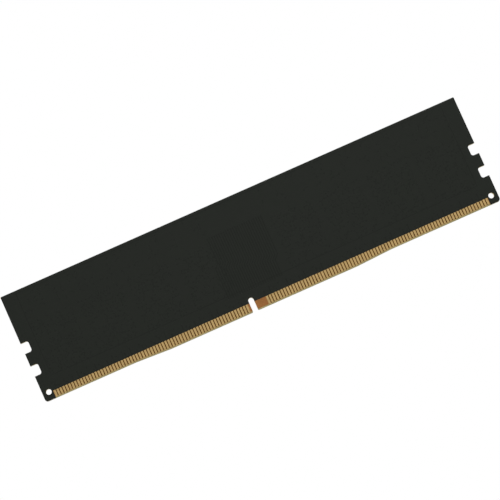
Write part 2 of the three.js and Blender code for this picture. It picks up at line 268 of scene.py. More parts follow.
def piece(name, slot, replaced, *parts):
    """Makes one object of (surface, finish) parts, which rides on the board.

    A finish is a material's name, or a list with one name for each group of the surface's faces. slot is not
    used, and replaced is the CAD nodes that the piece stands for.
    """
    vertices, groups = merge(*[surface for surface, _ in parts])
    finishes = []
    for (_, own_groups), finish in parts:
        finishes += [finish] * len(own_groups) if isinstance(finish, str) else finish
    used = list(dict.fromkeys(finishes))
    mesh = bpy.data.meshes.new(name)
    faces = [face for indices, _ in groups for face in indices.tolist()]
    mesh.from_pydata(vertices.tolist(), [], faces)
    for finish in used:
        mesh.materials.append(bpy.data.materials[finish])
    sizes = [len(indices) for indices, _ in groups]
    mesh.polygons.foreach_set("material_index", np.repeat([used.index(finish) for finish in finishes], sizes))
    mesh.set_sharp_from_angle(angle=SHARP_ANGLE)
    mesh.polygons.foreach_set("use_smooth", np.repeat([smooth for _, smooth in groups], sizes))
    mesh.update()
    made = bpy.data.objects.new(name, mesh)
    bpy.context.scene.collection.objects.link(made)
    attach(made, "root")
    if replaced:
        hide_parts(*replaced)


def rounded_rectangle(half, radius, steps):
    """Outlines of rounded rectangles: half sizes (..., 2) and radii (...) give (..., points, 2).

    Each corner is a quarter circle about a centre drawn in from the corner by the radius.
    """
    quarter = np.linspace(0, 90, steps + 1)
    direction = np.radians((np.arange(4)[:, None] * 90 + quarter).ravel())
    turn = np.stack([np.cos(direction), np.sin(direction)], -1)
    sign = np.repeat([(1, 1), (-1, 1), (-1, -1), (1, -1)], steps + 1, axis=0)
    radius = np.asarray(radius)[..., None, None]
    return sign * (np.asarray(half)[..., None, :] - radius) + radius * turn


def rounded_edge(top, radius, inset=0.0, cut=0.3):
    """The (inset, out) levels of an edge rounded off below its top, with one level between its ends.

    cut is how far in that level lies, as a part of the radius.
    """
    return [(inset, top - radius), (inset + radius * cut, top - radius * 0.3), (inset + radius, top)]


def slabs(centres, size, radius, levels, steps=2):
    """Rounded rectangular bodies about (across, up) centres, as rings of (across, up, out) points.

    levels lists (inset, out) pairs: at each height out, the outline is drawn in by inset, so a list
    that starts with negative insets flares at its foot. size is one pair or one pair for each centre.
    """
    centres = np.atleast_2d(centres)
    size = np.broadcast_to(size, centres.shape)
    inset, out = np.array(levels, float).T
    half = size[:, None] / 2 - inset[None, :, None]
    smallest = radius * 0.2
    corner = np.broadcast_to(np.maximum(radius - inset, smallest), half.shape[:2])
    outline = rounded_rectangle(half, corner, steps) + centres[:, None, None]
    height = np.broadcast_to(out[None, :, None, None], (*outline.shape[:3], 1))
    return np.concatenate([outline, height], -1)


def rounds(centres, levels, points=10):
    """Turned bodies about (across, up) centres: a circle of each (radius, out) level in turn."""
    centres = np.atleast_2d(centres)
    radius, out = np.array(levels, float).T
    direction = np.linspace(0, 2 * np.pi, points, endpoint=False)
    circle = np.stack([np.cos(direction), np.sin(direction)], -1)
    outline = radius[:, None, None] * circle + centres[:, None, None]
    height = np.broadcast_to(out[None, :, None, None], (*outline.shape[:3], 1))
    return np.concatenate([outline, height], -1)


def tracks_along(paths, width, foot, top):
    """Raised tracks along (tracks, points, 2) paths, with one top for all or one for each.

    The section is a low trapezium. At a bend it is set along the bisector, and widened by one over the
    cosine of half the bend, which keeps the track's width.
    """
    shoulder = 0.45
    step = np.diff(paths, axis=1)
    step /= np.linalg.norm(step, axis=-1, keepdims=True)
    along = np.concatenate([step[:, :1], step[:, :-1] + step[:, 1:], step[:, -1:]], axis=1)
    along /= np.linalg.norm(along, axis=-1, keepdims=True)
    before = np.concatenate([step[:, :1], step], axis=1)
    mitre = 1 / np.sum(along * before, axis=-1, keepdims=True)
    left = np.stack([-along[..., 1], along[..., 0]], -1) * mitre
    offset = width / 2 * np.array([1, shoulder, -shoulder, -1])
    flat = paths[:, :, None] + left[:, :, None] * offset[:, None]
    feet, tops = np.full(len(paths), foot), np.broadcast_to(top, len(paths))
    section = np.stack([feet, tops, tops, feet], -1)[:, None, :, None]
    out = np.broadcast_to(section, (*flat.shape[:3], 1))
    return np.concatenate([flat, out], -1)


def face_shells(rings, face=FRONT):
    """A closed surface of rings of (across, up, out) points, on one face of the board."""
    return shells(on_face(rings, face))


# ---------------------------------------------------------------- the board's outline


def arc(centre, radius, start, end, steps=ARC_STEPS):
    """Points on a circle's arc between two directions in degrees."""
    direction = np.radians(np.linspace(start, end, steps + 1))
    return np.stack([centre[0] + radius * np.cos(direction), centre[1] + radius * np.sin(direction)], -1)


def right_end(board, inset):
    """The board's right end from its lower to its upper corner, with the two latch notches."""
    edge = BOARD_HIGH.x
    height = BOARD_HIGH.z
    floor = edge - board.notch_depth
    half = board.notch_height / 2
    bend = board.notch_radius
    corner, top = board.corner_radius, board.top_radius
    parts = [arc((edge - corner, board.end_rise + corner), corner - inset, -90, 0)]
    for z in (board.lower_notch, board.upper_notch):
        parts.append([[edge - inset, z - half - inset]])
        parts.append(arc((floor + bend, z - half + bend), bend + inset, -90, -180))
        parts.append(arc((floor + bend, z + half - bend), bend + inset, 180, 90))
        parts.append([[edge - inset, z + half + inset]])
    parts.append(arc((edge - top, height - top), top - inset, 0, 90))
    return np.concatenate(parts)


def key_arch(board, inset):
    """The round top of the key notch, walked from left to right."""
    radius = board.key_width / 2
    return arc((board.key_centre, board.key_top - radius), radius + inset, 180, 0, 2 * ARC_STEPS)


def window_half(contacts):
    """Half the length of the opening in the solder mask over the contacts."""
    return -contacts.first + contacts.width / 2 + contacts.window_margin


def laminate_bottom(board, contacts, inset, lift):
    """The contact edge from left to right with the key notch, raised by lift between the mask's ends."""
    step = 0.02 * MM
    window = window_half(contacts)
    low = inset + lift
    high = board.end_rise + low
    half = board.key_width / 2
    foot = board.key_foot_radius
    left, right = board.key_centre - half - foot, board.key_centre + half + foot
    return np.concatenate([
        [[-window, board.end_rise + inset], [step - window, high]],
        [[board.left_low_end - board.rise_length, high], [board.left_low_end, low]],
        arc((left, lift + foot), foot - inset, -90, 0, steps=3),
        key_arch(board, inset),
        arc((right, lift + foot), foot - inset, 180, 270, steps=3),
        [[board.right_low_end, low], [board.right_low_end + board.rise_length, high]],
        [[window - step, high], [window, board.end_rise + inset]],
    ])


def mask_bottom(board, contacts, inset):
    """The lower edge of the solder mask, which steps up over the contacts."""
    window = window_half(contacts) + inset
    foot = board.end_rise + inset
    top = contacts.top + inset
    half = board.key_width / 2 + inset
    return np.concatenate([
        [[-window, foot], [-window, top], [board.key_centre - half, top]],
        key_arch(board, inset),
        [[board.key_centre + half, top], [window, top], [window, foot]],
    ])


def outlines_over(board, bottom, inset):
    """The outer outline over a bottom edge, and the outlines of the two alignment holes.

    The left end is the mirror image of the right one. The holes are walked clockwise, so that their
    walls face inwards.
    """
    right = right_end(board, inset)
    outer = np.concatenate([bottom, right, right[::-1] * (-1, 1)])
    x = BOARD_HIGH.x - board.hole_inset
    ring = arc((0, board.hole_height), board.hole_radius + inset, 360, 0, 4 * ARC_STEPS)[:-1]
    return [outer, ring - (x, 0), ring + (x, 0)]


def plate(outlines, depths):
    """A flat plate with holes.

    outlines holds, for each depth y from the back to the front, its outer outline and its holes. Equal
    loops at neighbouring depths are joined by quads, and the two faces are filled with triangles. The
    groups are the walls of each loop and then the two faces.
    """
    loops = list(zip(*outlines))
    vertices, groups, starts, count = [], [], [], 0
    for loop in loops:
        flat = np.stack(loop)
        y = np.broadcast_to(np.array(depths)[:, None, None], (*flat.shape[:2], 1))
        ring = np.concatenate([flat[..., :1], y, flat[..., 1:]], -1)
        index = np.arange(flat.shape[0] * flat.shape[1]).reshape(flat.shape[:2]) + count
        after = np.roll(index, -1, axis=1)
        walls = np.stack([index[:-1], after[:-1], after[1:], index[1:]], -1).reshape(-1, 4)
        groups.append((walls, True))
        vertices.append(ring.reshape(-1, 3))
        starts.append(index)
        count += ring.shape[0] * ring.shape[1]
    vertices = np.concatenate(vertices)
    for end, turn in ((0, -1), (-1, 1)):
        order = np.concatenate([index[end] for index in starts])
        flat = vertices[order][:, [0, 2]]
        cuts = np.cumsum([len(index[end]) for index in starts])[:-1]
        lines = [[(x, z, 0.0) for x, z in part.tolist()] for part in np.split(flat / MM, cuts)]
        triangles = np.array(tessellate_polygon(lines))
        a, b, c = (flat[triangles[:, i]] for i in range(3))
        area = (b - a)[:, 0] * (c - a)[:, 1] - (b - a)[:, 1] * (c - a)[:, 0]
        triangles[area * turn < 0] = triangles[area * turn < 0][:, ::-1]
        groups.append((order[triangles], False))
    return vertices, groups


# ---------------------------------------------------------------- shader groups


def link(tree, source, target):
    """Joins an output socket to an input socket."""
    tree.links.new(source, target)


def node(tree, kind, inputs=(), **settings):
    """Adds a node, sets its fields, and sets or links its inputs, given as {name or number: value}."""
    made = tree.nodes.new(kind)
    for key, value in settings.items():
        setattr(made, key, value)
    for key, value in dict(inputs).items():
        if isinstance(value, bpy.types.NodeSocket):
            link(tree, value, made.inputs[key])
        else:
            made.inputs[key].default_value = value
    return made


def math_node(tree, operation, first, second=0.0, third=0.0):
    """The result of one sum on numbers or sockets."""
    made = node(tree, "ShaderNodeMath", {0: first, 1: second, 2: third}, operation=operation)
    return made.outputs[0]


def noise(tree, vector, scale, detail):
    """A noise texture node, whose first output is the value."""
    return node(tree, "ShaderNodeTexNoise", {"Vector": vector, "Scale": scale, "Detail": detail})


def new_group(name, values, outputs):
    """A shader node group with a Vector input, named values with their defaults, and value outputs."""
    group = bpy.data.node_groups.new(name, "ShaderNodeTree")
    group.interface.new_socket("Vector", in_out="INPUT", socket_type="NodeSocketVector")
    for label, default in values.items():
        socket = group.interface.new_socket(label, in_out="INPUT", socket_type="NodeSocketFloat")
        socket.default_value = default
    for label in outputs:
        group.interface.new_socket(label, in_out="OUTPUT", socket_type="NodeSocketFloat")
    entry = group.nodes.new("NodeGroupInput")
    leave = group.nodes.new("NodeGroupOutput")
    return group, entry.outputs, leave.inputs


def grain_group():
    """Fine uneven grain: two layers of noise mixed, the second one about three times finer."""
    group, given, out = new_group("Fine grain", {"Scale": 10.0, "Roughness": 0.5}, ["Height"])
    coarse = noise(group, given["Vector"], given["Scale"], 2.0)
    fine = noise(group, given["Vector"], math_node(group, "MULTIPLY", given["Scale"], 3.1), 2.0)
    mixed = node(
        group, "ShaderNodeMix", {"Factor": given["Roughness"], "A": coarse.outputs[0], "B": fine.outputs[0]}
    )
    link(group, mixed.outputs[0], out["Height"])


def drift_group():
    """Slow drift of tone: wide noise turned into a factor about one, and the noise itself as a mask."""
    group, given, out = new_group("Tone drift", {"Scale": 0.1, "Spread": 0.1}, ["Factor", "Mask"])
    wide = noise(group, given["Vector"], given["Scale"], 3.0)
    centred = math_node(group, "SUBTRACT", wide.outputs[0], 0.5)
    spread = math_node(group, "MULTIPLY", centred, given["Spread"])
    link(group, math_node(group, "MULTIPLY_ADD", spread, 2.0, 1.0), out["Factor"])
    link(group, wide.outputs[0], out["Mask"])


def weave_group():
    """Glass cloth: a sine along x times a sine along z, on coordinates that noise warps a little."""
    group, given, out = new_group("Glass weave", {"Pitch": 0.5}, ["Height"])
    warped = noise(group, given["Vector"], 0.35, 1.0)
    shifted = node(
        group, "ShaderNodeVectorMath",
        {0: warped.outputs["Color"], 1: (0.25, 0.25, 0.25), 2: given["Vector"]}, operation="MULTIPLY_ADD",
    )
    parts = node(group, "ShaderNodeSeparateXYZ", {0: shifted.outputs[0]})
    turns = math_node(group, "DIVIDE", math.pi, given["Pitch"])
    ridges = []
    for axis in ("X", "Z"):
        phase = math_node(group, "MULTIPLY", parts.outputs[axis], turns)
        ridges.append(math_node(group, "SINE", phase))
    product = math_node(group, "MULTIPLY", ridges[0], ridges[1])
    link(group, math_node(group, "MULTIPLY_ADD", product, 0.5, 0.5), out["Height"])


def dust_group():
    """Sparse round specks about scattered points, as wide as a slow noise times the amount."""
    group, given, out = new_group("Dust specks", {"Scale": 4.0, "Amount": 0.1}, ["Mask"])
    cells = node(
        group, "ShaderNodeTexVoronoi", {"Vector": given["Vector"], "Scale": given["Scale"], "Randomness": 1.0}
    )
    patches = noise(group, given["Vector"], 0.12, 2.0)
    reach = math_node(group, "MULTIPLY", patches.outputs[0], given["Amount"])
    near = math_node(group, "LESS_THAN", cells.outputs["Distance"], reach)
    link(group, near, out["Mask"])


def rub_group():
    """Fine rub marks along z: noise squeezed across the marks and stretched along them."""
    group, given, out = new_group("Rub marks", {"Scale": 6.0, "Stretch": 0.08}, ["Mask"])
    squeeze = node(group, "ShaderNodeCombineXYZ", {0: 1.0, 1: 1.0, 2: given["Stretch"]})
    turned = node(
        group, "ShaderNodeVectorMath", {0: given["Vector"], 1: squeeze.outputs[0]}, operation="MULTIPLY"
    )
    streaks = noise(group, turned.outputs[0], given["Scale"], 3.0)
    sharp = node(
        group, "ShaderNodeMapRange", {"Value": streaks.outputs[0], "From Min": 0.45, "From Max": 0.7}
    )
    link(group, sharp.outputs[0], out["Mask"])


def use_group(tree, name, vector, **values):
    """Places a shader node group with its own values, and gives its outputs."""
    made = tree.nodes.new("ShaderNodeGroup")
    made.node_tree = bpy.data.node_groups[name]
    link(tree, vector, made.inputs["Vector"])
    for key, value in values.items():
        made.inputs[key].default_value = value
    return made.outputs


# ---------------------------------------------------------------- materials


def begin_material(name, **constants):
    """Starts a Principled material: its tree, its shader and its coordinates in millimetres.

    constants are set on the shader itself.
    """
    material = bpy.data.materials.new(name)
    material.use_nodes = True
    tree = material.node_tree
    shader = tree.nodes["Principled BSDF"]
    for key, value in constants.items():
        shader.inputs[key.replace("_", " ")].default_value = value
    coordinates = node(tree, "ShaderNodeTexCoord").outputs["Object"]
    millimetres = node(tree, "ShaderNodeMapping", {"Vector": coordinates, "Scale": (1000, 1000, 1000)})
    return tree, shader, millimetres.outputs[0]


def toned(tree, tint, factor):
    """A colour multiplied by a factor that varies over the surface."""
    made = node(tree, "ShaderNodeVectorMath", {0: tuple(tint), 1: factor}, operation="MULTIPLY")
    return made.outputs[0]


def blended(tree, factor, first, second):
    """The first colour where the factor is 0 and the second where it is 1."""
    made = node(tree, "ShaderNodeMix", {"Factor": factor}, data_type="RGBA")
    for socket, value in (("A_Color", first), ("B_Color", second)):
        target = next(s for s in made.inputs if s.identifier == socket)
        if isinstance(value, bpy.types.NodeSocket):
            link(tree, value, target)
        else:
            target.default_value = (*value, 1.0)
    return next(s for s in made.outputs if s.identifier == "Result_Color")


def finish_with(tree, shader, base, roughness):
    """Feeds the two sockets that every finish varies over its surface."""
    link(tree, base, shader.inputs["Base Color"])
    link(tree, roughness, shader.inputs["Roughness"])


def ranged(tree, value, low, high):
    """Maps a mask from 0 to 1 on to low to high."""
    made = node(tree, "ShaderNodeMapRange", {"Value": value, "To Min": low, "To Max": high})
    return made.outputs[0]


def bumped(tree, shader, height, strength, depth):
    """Feeds a bump of the given depth in millimetres to the shader's normal."""
    made = node(tree, "ShaderNodeBump", {"Height": height, "Strength": strength, "Distance": depth * MM})
    link(tree, made.outputs[0], shader.inputs["Normal"])


def mask_material(name, tint):
    """Satin solder mask: orange peel, a trace of the glass cloth below, slow drift, and a little dust."""
    tree, shader, where = begin_material(name, IOR=1.5, Specular_IOR_Level=0.26)
    drift = use_group(tree, "Tone drift", where, Scale=0.06, Spread=0.1)
    fine = use_group(tree, "Fine grain", where, Scale=2.2, Roughness=0.45)
    weave = use_group(tree, "Glass weave", where, Pitch=0.55)
    dust = use_group(tree, "Dust specks", where, Scale=1.6, Amount=0.07)
    dusty = math_node(tree, "MULTIPLY", dust["Mask"], 0.25)
    dust_grey = (0.2, 0.2, 0.19)
    base = blended(tree, dusty, toned(tree, tint, drift["Factor"]), dust_grey)
    finish_with(tree, shader, base, ranged(tree, drift["Mask"], 0.34, 0.48))
    height = math_node(tree, "MULTIPLY_ADD", weave["Height"], 0.25, fine["Height"])
    bumped(tree, shader, height, 0.35, 0.012)


def laminate_material(name, tint, specular):
    """Glass-fibre laminate: resin tinted darker and lighter by the cloth, with a fine satin grain."""
    tree, shader, where = begin_material(name, IOR=1.5, Specular_IOR_Level=specular)
    drift = use_group(tree, "Tone drift", where, Scale=0.4, Spread=0.25)
    weave = use_group(tree, "Glass weave", where, Pitch=0.45)
    fine = use_group(tree, "Fine grain", where, Scale=6.0, Roughness=0.5)
    pale = tuple(min(1.0, channel * 1.3) for channel in tint)
    threads = ranged(tree, weave["Height"], 0.0, 0.45)
    base = blended(tree, threads, toned(tree, tint, drift["Factor"]), pale)
    finish_with(tree, shader, base, ranged(tree, fine["Height"], 0.45, 0.75))
    bumped(tree, shader, math_node(tree, "ADD", weave["Height"], fine["Height"]), 0.4, 0.01)


def metal_material(name, tint, smooth, rough, spread):
    """Plated or soldered metal: streaked roughness, slow tone drift and a fine uneven skin."""
    tree, shader, where = begin_material(name, Metallic=1.0)
    drift = use_group(tree, "Tone drift", where, Scale=0.5, Spread=spread)
    rub = use_group(tree, "Rub marks", where, Scale=5.0, Stretch=0.12)
    fine = use_group(tree, "Fine grain", where, Scale=9.0, Roughness=0.5)
    dull = tuple(channel * 0.82 for channel in tint)
    rubbed = math_node(tree, "MULTIPLY", rub["Mask"], 0.35)
    base = blended(tree, rubbed, toned(tree, tint, drift["Factor"]), dull)
    finish_with(tree, shader, base, ranged(tree, rub["Mask"], smooth, rough))
    bumped(tree, shader, fine["Height"], 0.3, 0.006)


def moulded_material(name, tint, low, high):
    """Filled epoxy or fired ceramic: close grain, pale filler specks and slightly uneven roughness."""
    tree, shader, where = begin_material(name, IOR=1.5, Specular_IOR_Level=0.4)
    drift = use_group(tree, "Tone drift", where, Scale=0.25, Spread=0.15)
    fine = use_group(tree, "Fine grain", where, Scale=14.0, Roughness=0.5)
    filler = use_group(tree, "Dust specks", where, Scale=9.0, Amount=0.28)
    pale = tuple(min(1.0, channel * 1.5 + 0.02) for channel in tint)
    specks = math_node(tree, "MULTIPLY", filler["Mask"], 0.5)
    base = blended(tree, specks, toned(tree, tint, drift["Factor"]), pale)
    finish_with(tree, shader, base, ranged(tree, fine["Height"], low, high))
    bumped(tree, shader, fine["Height"], 0.5, 0.012)


def floor_material(name, tint):
    """A pale floor, seen and mirrored from above only: its underside and all other rays pass through."""
    tree, shader, where = begin_material(
        name, Roughness=0.85, Emission_Strength=0.45, Emission_Color=(1, 1, 0.99, 1)
    )
    drift = use_group(tree, "Tone drift", where, Scale=0.01, Spread=0.02)
    link(tree, toned(tree, tint, drift["Factor"]), shader.inputs["Base Color"])
    under = node(tree, "ShaderNodeNewGeometry").outputs["Backfacing"]
    path = node(tree, "ShaderNodeLightPath").outputs
    seen = math_node(tree, "ADD", path["Is Camera Ray"], path["Is Glossy Ray"])
    shown = math_node(tree, "MULTIPLY", seen, math_node(tree, "SUBTRACT", 1.0, under))
    clear = node(tree, "ShaderNodeBsdfTransparent")
    mixed = node(tree, "ShaderNodeMixShader", {0: shown, 1: clear.outputs[0], 2: shader.outputs[0]})
    link(tree, mixed.outputs[0], tree.nodes["Material Output"].inputs["Surface"])


def make_materials(finish):
    """Builds every finish of the module once."""
    for build in (grain_group, drift_group, weave_group, dust_group, rub_group):
        build()
    mask_material("satin_mask", finish.mask)
    mask_material("satin_mask_over_tracks", finish.mask_over_tracks)
    laminate_material("laminate_face", finish.laminate, 0.3)
    laminate_material("laminate_cut", finish.laminate_cut, 0.3)
    # Painted shade for the narrow gaps between the contacts.
    laminate_material("laminate_gap", finish.gap, 0.06)
    metal_material("contact_gold", finish.gold, 0.4, 0.52, 0.08)
    metal_material("copper_foil", finish.copper, 0.35, 0.5, 0.1)
    metal_material("soft_solder", finish.solder, 0.22, 0.4, 0.1)
    moulded_material("package_mould", finish.mould, 0.5, 0.75)
    moulded_material("carrier_laminate", finish.carrier, 0.35, 0.55)
    moulded_material("silicon_die", finish.silicon, 0.15, 0.3)
    moulded_material("resistor_ceramic", finish.alumina, 0.5, 0.7)
    moulded_material("resistor_glaze", finish.glaze, 0.25, 0.4)
    moulded_material("fired_ceramic", finish.ceramic, 0.4, 0.6)
    moulded_material("printed_ink", finish.ink, 0.55, 0.7)
    moulded_material("laser_mark", finish.laser_mark, 0.6, 0.8)


# ---------------------------------------------------------------- places on the board


def footprint(name):
    """A front part's box: its centre and size as (along, up), and how far out its foot and top lie."""
    low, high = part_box(name)
    centre = np.array([low.x + high.x, low.z + high.z]) / 2
    return centre, np.array([high.x - low.x, high.z - low.z]), -high.y, -low.y


CHIP_CENTRES = np.array([footprint(f"memory_chip_{n}_body")[0] for n in CHIP_NUMBERS])


def bare_mask(board):
    """How far out the mask lies where no track lifts it, which is where the small parts stand."""
    return MASK_FACE_Y - board.relief


def row_about(count, pitch):
    """Evenly spaced places on both sides of zero."""
    return (np.arange(count) - (count - 1) / 2) * pitch


def grid(x, z):
    """Every pair of one of the x and one of the z."""
    return np.stack(np.meshgrid(x, z), -1).reshape(-1, 2)


def at_each_chip(offsets):
    """Places given from a package's centre, for every package."""
    return (CHIP_CENTRES[:, None] + offsets).reshape(-1, 2)


def paths_through(*corners):
    """Paths from the (x, z) of each corner in turn, either of which may be one value for all paths."""
    return np.stack([np.stack(np.broadcast_arrays(x, z), -1) for x, z in corners], 1)


def bank_places(contacts):
    """The middles of the contacts, as {bank name: array of x}."""
    left = contacts.first + np.arange(contacts.long_bank) * contacts.pitch
    right = -contacts.first - np.arange(contacts.short_bank)[::-1] * contacts.pitch
    return {"long_bank": left, "short_bank": right}


def edge_height(board, x):
    """The height of the contact edge at x: flat in the middle, then a slope up to both ends."""
    outwards = np.where(x < 0, board.left_low_end - x, x - board.right_low_end)
    return board.end_rise * np.clip(outwards / board.rise_length, 0, 1)


def strips(settings, x, width, side):
    """Centres and sizes of upright strips at x, from the height of the contacts' feet to their tops."""
    contacts = settings.contacts
    foot = edge_height(settings.board, x) + contacts.foot_gap
    centres = np.stack([-side * x, (contacts.top + foot) / 2], -1)
    return centres, np.stack([np.full_like(x, width), contacts.top - foot], -1)


def ball_columns(packages):
    """The places across a package of its solder balls' columns, in two banks."""
    banks = np.array([-1, 1]) * packages.bank_centre
    return np.add.outer(banks, row_about(packages.bank_columns, packages.ball_pitch)).ravel()


# ---------------------------------------------------------------- materials, board and contacts


class MaterialsOperator(Operator):
    """Builds the materials and gives the inner CAD parts theirs"""

    bl_idname = "memory_module.materials"
    bl_label = "Materials"

    def execute(self, context):
        make_materials(context.scene.memory_module.finish)
        inner = {"ground_plane": "copper_foil", "power_plane": "copper_foil"}
        inner.update({f"memory_chip_{n}_die": "silicon_die" for n in CHIP_NUMBERS})
        for name, finish in inner.items():
            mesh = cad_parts[name].data
            mesh.materials.clear()
            mesh.materials.append(bpy.data.materials[finish])
        return {"FINISHED"}


class BoardOperator(Operator):
    """Builds the glass-fibre board with its bevelled contact edge, and the solder mask on both faces"""

    bl_idname = "memory_module.board"
    bl_label = "Board"

    def execute(self, context):
        settings = context.scene.memory_module
        self.add_laminate(settings)
        for label, side in SIDES.items():
            self.add_mask(settings, f"solder_mask_{label}", side)
        return {"FINISHED"}

    def add_laminate(self, settings):
        """The bevelled plate, with cut walls and resin-rich faces, and dark strips between the contacts that
        are painted shade of the narrow gaps.
        """
        board, contacts = settings.board, settings.contacts
        face = LAMINATE_FACE_Y
        rounding = 0.02 * MM
        rows = [
            (face, rounding, board.bevel_height),
            (face - rounding, 0, board.bevel_height * (1 - rounding / board.bevel_depth)),
            (face - board.bevel_depth, 0, 0),
        ]
        rows += [(-y, inset, lift) for y, inset, lift in reversed(rows)]
        outlines = [
            outlines_over(board, laminate_bottom(board, contacts, inset, lift), inset)
            for _, inset, lift in rows
        ]
        body = plate(outlines, [y for y, _, _ in rows])
        body_finishes = ["laminate_cut"] * len(outlines[0]) + ["laminate_face"] * 2
        # Dark strips of painted shade between the contacts.
        gaps = merge(*[face_shells(self.gap_shade_rings(settings, side), side) for side in SIDES.values()])
        piece(
            "board_laminate", "laminate", ["laminate_core", "prepreg_front", "prepreg_back"],
            (body, body_finishes), (gaps, "laminate_gap"),
        )

    def gap_shade_rings(self, settings, side):
        """Dark strips between neighbouring contacts, painted shade of the narrow gaps there."""
        contacts = settings.contacts
        overlap, proud = 0.02 * MM, 0.003 * MM
        x = np.concatenate([bank[:-1] + contacts.pitch / 2 for bank in bank_places(contacts).values()])
        centres, size = strips(settings, x, contacts.pitch - contacts.width + overlap, side)
        levels = [(0, LAMINATE_FACE_Y - SUNK), (0, LAMINATE_FACE_Y + proud)]
        return slabs(centres, size, radius=0.05 * MM, levels=levels)

    def add_mask(self, settings, name, side):
        """One sheet of solder mask, with a soft outer edge."""
        board, contacts = settings.board, settings.contacts
        levels = [(0, LAMINATE_FACE_Y), *rounded_edge(bare_mask(board), 0.015 * MM)]
        levels = levels if side == FRONT else levels[::-1]
        outlines = [outlines_over(board, mask_bottom(board, contacts, inset), inset) for inset, _ in levels]
        sheet = plate(outlines, [side * out for _, out in levels])
        piece(f"{name}_sheet", "solder_mask", [name], (sheet, "satin_mask"))


class ContactsOperator(Operator):
    """Builds the gold contacts on both faces, as separate plated fingers"""

    bl_idname = "memory_module.contacts"
    bl_label = "Edge contacts"

    def execute(self, context):
        settings = context.scene.memory_module
        contacts = settings.contacts
        top, bevel = LAMINATE_FACE_Y + contacts.thickness, 0.012 * MM
        levels = [(0, LAMINATE_FACE_Y), (0, top - bevel), (bevel, top)]
        for label, side in SIDES.items():
            for bank, x in bank_places(contacts).items():
                centres, size = strips(settings, x, contacts.width, side)
                fingers = face_shells(slabs(centres, size, radius=0.08 * MM, levels=levels), side)
                node_name = f"contacts_{label}_{bank}"
                piece(f"{node_name}_fingers", "gold", [node_name], (fingers, "contact_gold"))
        return {"FINISHED"}


# ---------------------------------------------------------------- tracks and vias


def lead_paths(contacts, side):
    """Short tracks that climb out of the contacts to three staggered rows of vias.

    One contact in five has none, and every other track steps aside by 45 degrees.
    """
    x = np.concatenate(list(bank_places(contacts).values()))
    number = np.arange(len(x))
    unused = {FRONT: 2, BACK: 0}[side]
    kept = number % 5 != unused
    x, number = x[kept], number[kept]
    start, bend = contacts.top - 0.05 * MM, contacts.top + 0.35 * MM
    end = contacts.top + (0.75 + 0.62 * (number % 3)) * MM
    aside = np.where(number % 2, 0.0, 0.2 * MM)
    return paths_through((x, start), (x, bend), (x + aside, bend + aside), (x + aside, end))


def lane_paths(tracks, contacts):
    """The data tracks of the packages: a climb, a length-matching meander, and a gather to the balls.

    The meander is a square wave about the climbing track, of four points to a wave.
    """
    offset = row_about(tracks.lane_count, contacts.pitch)
    fanned, gathered = offset * 0.8, offset * 0.62
    waves, swing = 3, 0.13 * MM
    meander = swing * np.array([-1, 1, 1, -1] * waves)
    x = CHIP_CENTRES[:, :1, None] + np.concatenate([
        np.stack([offset, fanned], -1),
        fanned[:, None] + meander,
        np.stack([fanned, gathered, gathered], -1),
    ], 1)
    climb, gather = np.linspace(7.4, 10.2, len(meander)), [10.6, 11.6, 12.6]
    z = np.concatenate([[5.6, 6.6], climb, gather]) * MM
    return np.stack([x, np.broadcast_to(z, x.shape)], -1).reshape(-1, len(z), 2)


def bus_paths(tracks):
    """The tracks that run along the board above the packages, and dip over each one."""
    chips = CHIP_CENTRES[:, 0]
    reach, dip = 3.2 * MM, 0.5 * MM
    left, right = chips[0] - 5.2 * MM, chips[-1] + 5.0 * MM
    dips = np.stack([chips - reach, chips - reach + dip, chips + reach - dip, chips + reach], -1).ravel()
    x = np.concatenate([[left], dips, [right]])
    step = np.concatenate([[0], np.tile([0, -dip, -dip, 0], len(chips)), [0]])
    base = tracks.bus_bottom + np.arange(tracks.bus_count) * tracks.bus_pitch
    z = base[:, None] + step
    return np.stack([np.broadcast_to(x, z.shape), z], -1)


def riser_paths(tracks, side):
    """The tracks that climb the middle of the board, with two bends at 45 degrees."""
    number = np.arange(tracks.riser_count)
    start, shift = {FRONT: (-7.8 * MM, -1.2 * MM), BACK: (-4.8 * MM, 1.2 * MM)}[side]
    pitch, foot, clearance = 0.68 * MM, 5.8 * MM, 0.6 * MM
    x = start + number * pitch
    bend = (10.5 + 0.18 * number) * MM
    top = tracks.bus_bottom - clearance
    return paths_through((x, foot), (x, bend), (x - shift, bend + abs(shift)), (x - shift, top))


def border_paths():
    """The edge of the copper pour, a rectangle drawn in from the board's ends and its top."""
    x, low, high = BOARD_HIGH.x - 4.2 * MM, 6.6 * MM, BOARD_HIGH.z - 0.8 * MM
    return np.array([[(-x, low), (-x, high), (x, high), (x, low), (-x, low)]])


def package_vias(packages):
    """The vias under each package, set between its solder balls."""
    pitch = packages.ball_pitch
    return at_each_chip(grid(ball_columns(packages), row_about(packages.ball_rows - 1, pitch)) + pitch / 2)


def scattered_vias():
    """The back's own vias: a grid behind each package and a wider one above, shaken and thinned out.

    Each grid has a centre and two pitches in millimetres, columns, rows and the part of it that is kept.
    """
    random = np.random.default_rng(7)
    reach = 0.3
    fields = []
    for centre, pitches, columns, rows, kept in (
        ((0, -2.6), (1.02, 1.1), 12, 14, 0.66), ((0, 10.3), (1.9, 1.6), 7, 4, 0.5),
    ):
        offsets = grid(row_about(columns, pitches[0]), row_about(rows, pitches[1])) + centre
        field = at_each_chip(offsets * MM)
        shake = random.uniform(-reach, reach, field.shape) * MM
        fields.append((field + shake)[random.random(len(field)) < kept])
    return np.concatenate(fields)


def stub_paths(starts):
    """A short track out of each via, straight and then bent by 45 degrees."""
    random = np.random.default_rng(11)
    first = random.integers(0, 8, len(starts)) * math.pi / 4
    second = first + random.choice([-1, 1], len(starts)) * math.pi / 4
    paths = [starts]
    for turn, shortest, longest in ((first, 0.35, 0.8), (second, 0.3, 1.1)):
        step = random.uniform(shortest, longest, (len(starts), 1)) * MM
        paths.append(paths[-1] + step * np.stack([np.cos(turn), np.sin(turn)], -1))
    return np.stack(paths, 1)


